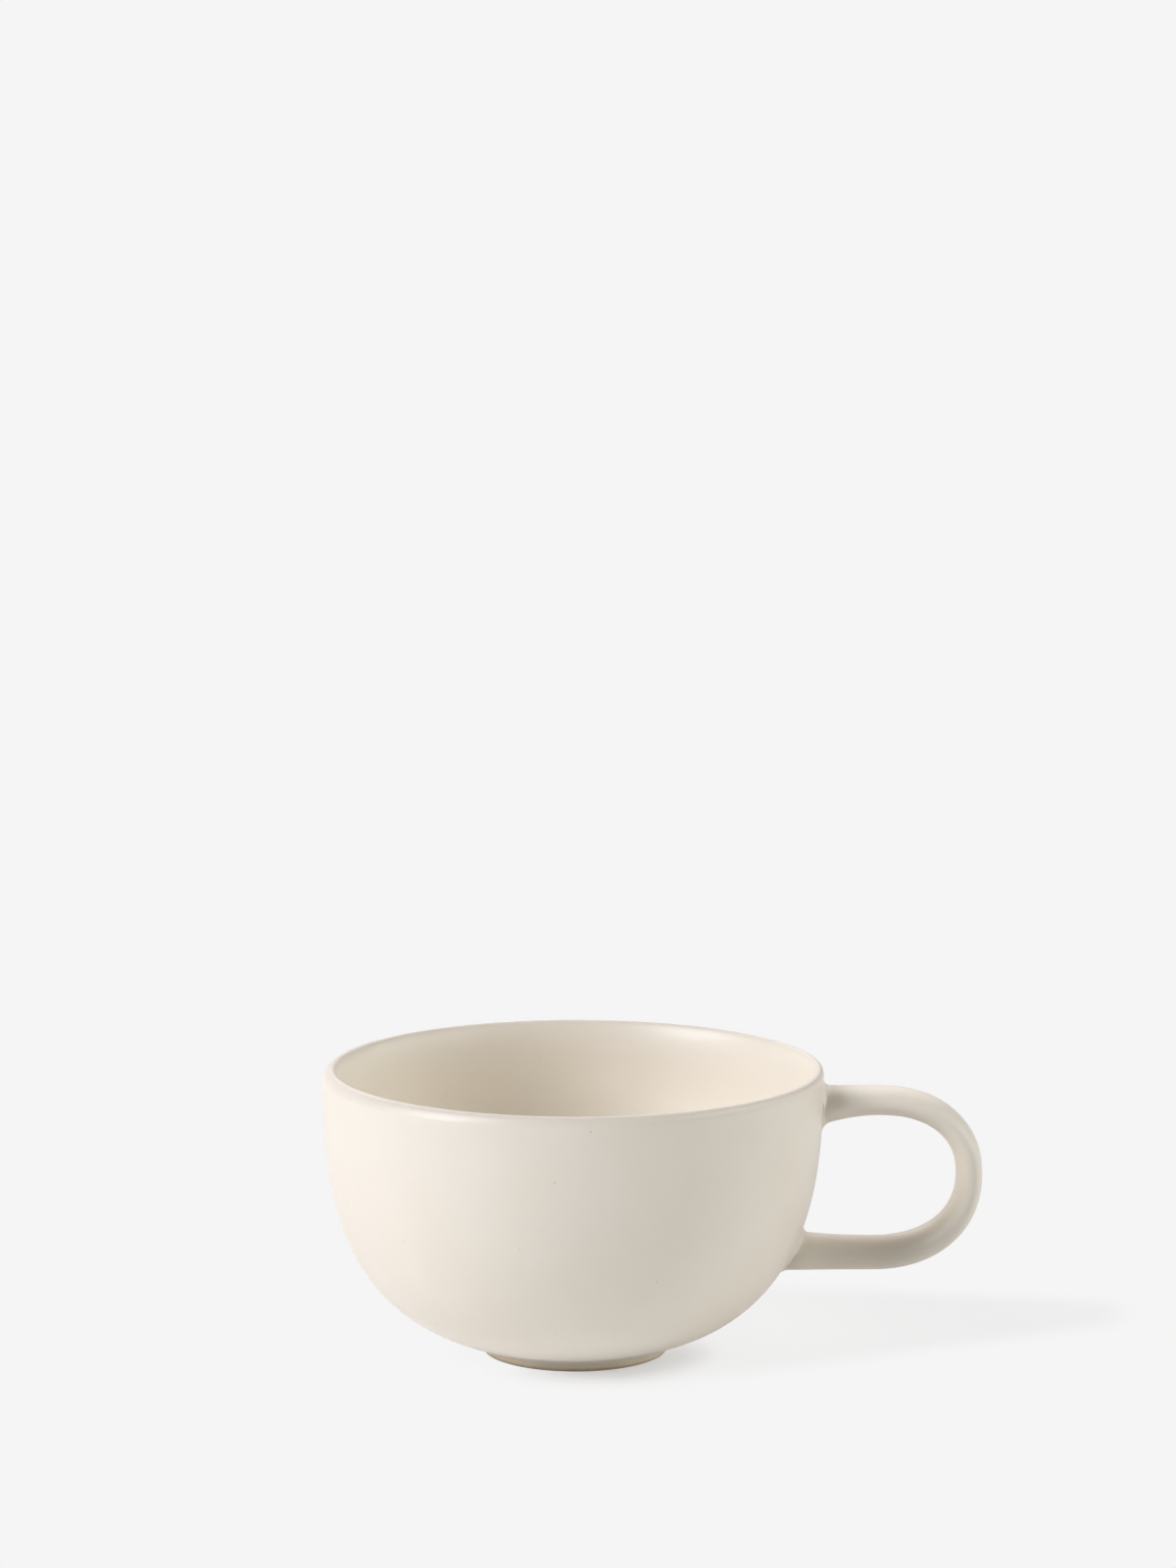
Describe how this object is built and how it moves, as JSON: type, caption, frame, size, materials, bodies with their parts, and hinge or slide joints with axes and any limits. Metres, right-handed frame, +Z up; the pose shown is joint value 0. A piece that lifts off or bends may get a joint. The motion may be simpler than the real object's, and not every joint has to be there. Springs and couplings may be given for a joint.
{
  "type": "teacup",
  "caption": "Wide round-bellied stoneware teacup with a rounded lip, a loop handle on slip fillets and a low foot ring, in satin cream glaze.",
  "frame": {"origin": "on the table, under the middle of the whole outline: the cup's own axis is 17.6 mm from it along -X", "axes": "+Z up along the cup's axis, +X from the bowl towards the handle, +Y across the handle"},
  "size_m": [0.1452, 0.11, 0.0636],
  "materials": {
    "cream_glaze": "satin",
    "foot_clay": "matt"
  },
  "bodies": {
    "root": {"cup_bowl": "cream_glaze", "foot_ring": "foot_clay", "handle": "cream_glaze", "upper_slip_fillet": "cream_glaze", "lower_slip_fillet": "cream_glaze"}
  },
  "joints": []
}
